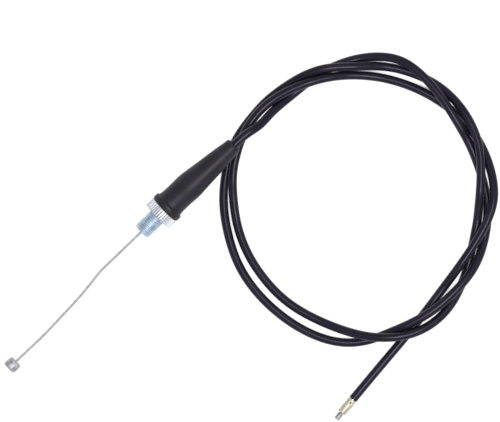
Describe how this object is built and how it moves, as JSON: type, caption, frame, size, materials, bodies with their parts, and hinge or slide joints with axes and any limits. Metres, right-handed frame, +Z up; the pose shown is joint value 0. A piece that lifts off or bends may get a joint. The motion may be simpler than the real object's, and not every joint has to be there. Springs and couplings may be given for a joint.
{
  "type": "throttle cable",
  "caption": "Jacketed control cable in loose coils with a threaded adjuster, knurled nut, rubber boot, crimped ferrule and a sliding wire with a nipple at each end",
  "frame": {"origin": "On the surface that the coiled cable lies on, under the centre of its bounding box", "axes": "+Z up from that surface, +X along the longest side of the box, from the carburettor end towards the coils"},
  "size_m": [0.2742, 0.2044, 0.0189],
  "materials": {
    "jacket": "satin black jacket",
    "conduit": "bright flat wire coil",
    "liner": "smooth white",
    "strand": "galvanised strand",
    "cap": "zinc plated",
    "ferrule": "pale warm plating",
    "boot": "matt black",
    "zinc": "blue zinc plating",
    "nut": "bright plated",
    "cast": "rough grey casting",
    "pin": "dull grey"
  },
  "bodies": {
    "housing": {"housing_jacket": "jacket", "housing_conduit": "conduit", "liner": "liner", "inner_wire_run": "strand", "carb_end_cap": "cap", "grip_ferrule": "ferrule", "rubber_boot": "boot"},
    "adjuster": {"adjuster_sleeve": "zinc"},
    "nut": {"knurled_nut": "nut"},
    "carb_end": {"carb_wire": "strand", "carb_nipple": "cast"},
    "grip_end": {"grip_wire": "strand", "grip_nipple": "pin"}
  },
  "joints": [
    {"name": "adjuster_turn", "type": "hinge", "parent": "housing", "child": "adjuster", "pos_m": [-0.0477, 0.0153, 0.0094], "axis": [0.7194, 0.6899, 0.0807], "range_deg": [0, 2592]},
    {"name": "nut_travel", "type": "slide", "parent": "housing", "child": "nut", "axis": [-0.7194, -0.6899, -0.0807], "range_m": [0, 0.0091]},
    {"name": "carb_wire_slide", "type": "slide", "parent": "housing", "child": "carb_end", "axis": [0.7194, 0.6899, 0.0807], "range_m": [0, 0.025], "deforming": ["inner_wire_run"]},
    {"name": "grip_wire_slide", "type": "slide", "parent": "housing", "child": "grip_end", "axis": [-0.6398, -0.7685, 0.0035], "range_m": [0, 0.025]}
  ],
  "couplings": [
    {"joint": "nut_travel", "follows": "adjuster_turn", "m_per_rad": 0.00019894},
    {"joint": "grip_wire_slide", "follows": "carb_wire_slide", "ratio": 1}
  ]
}
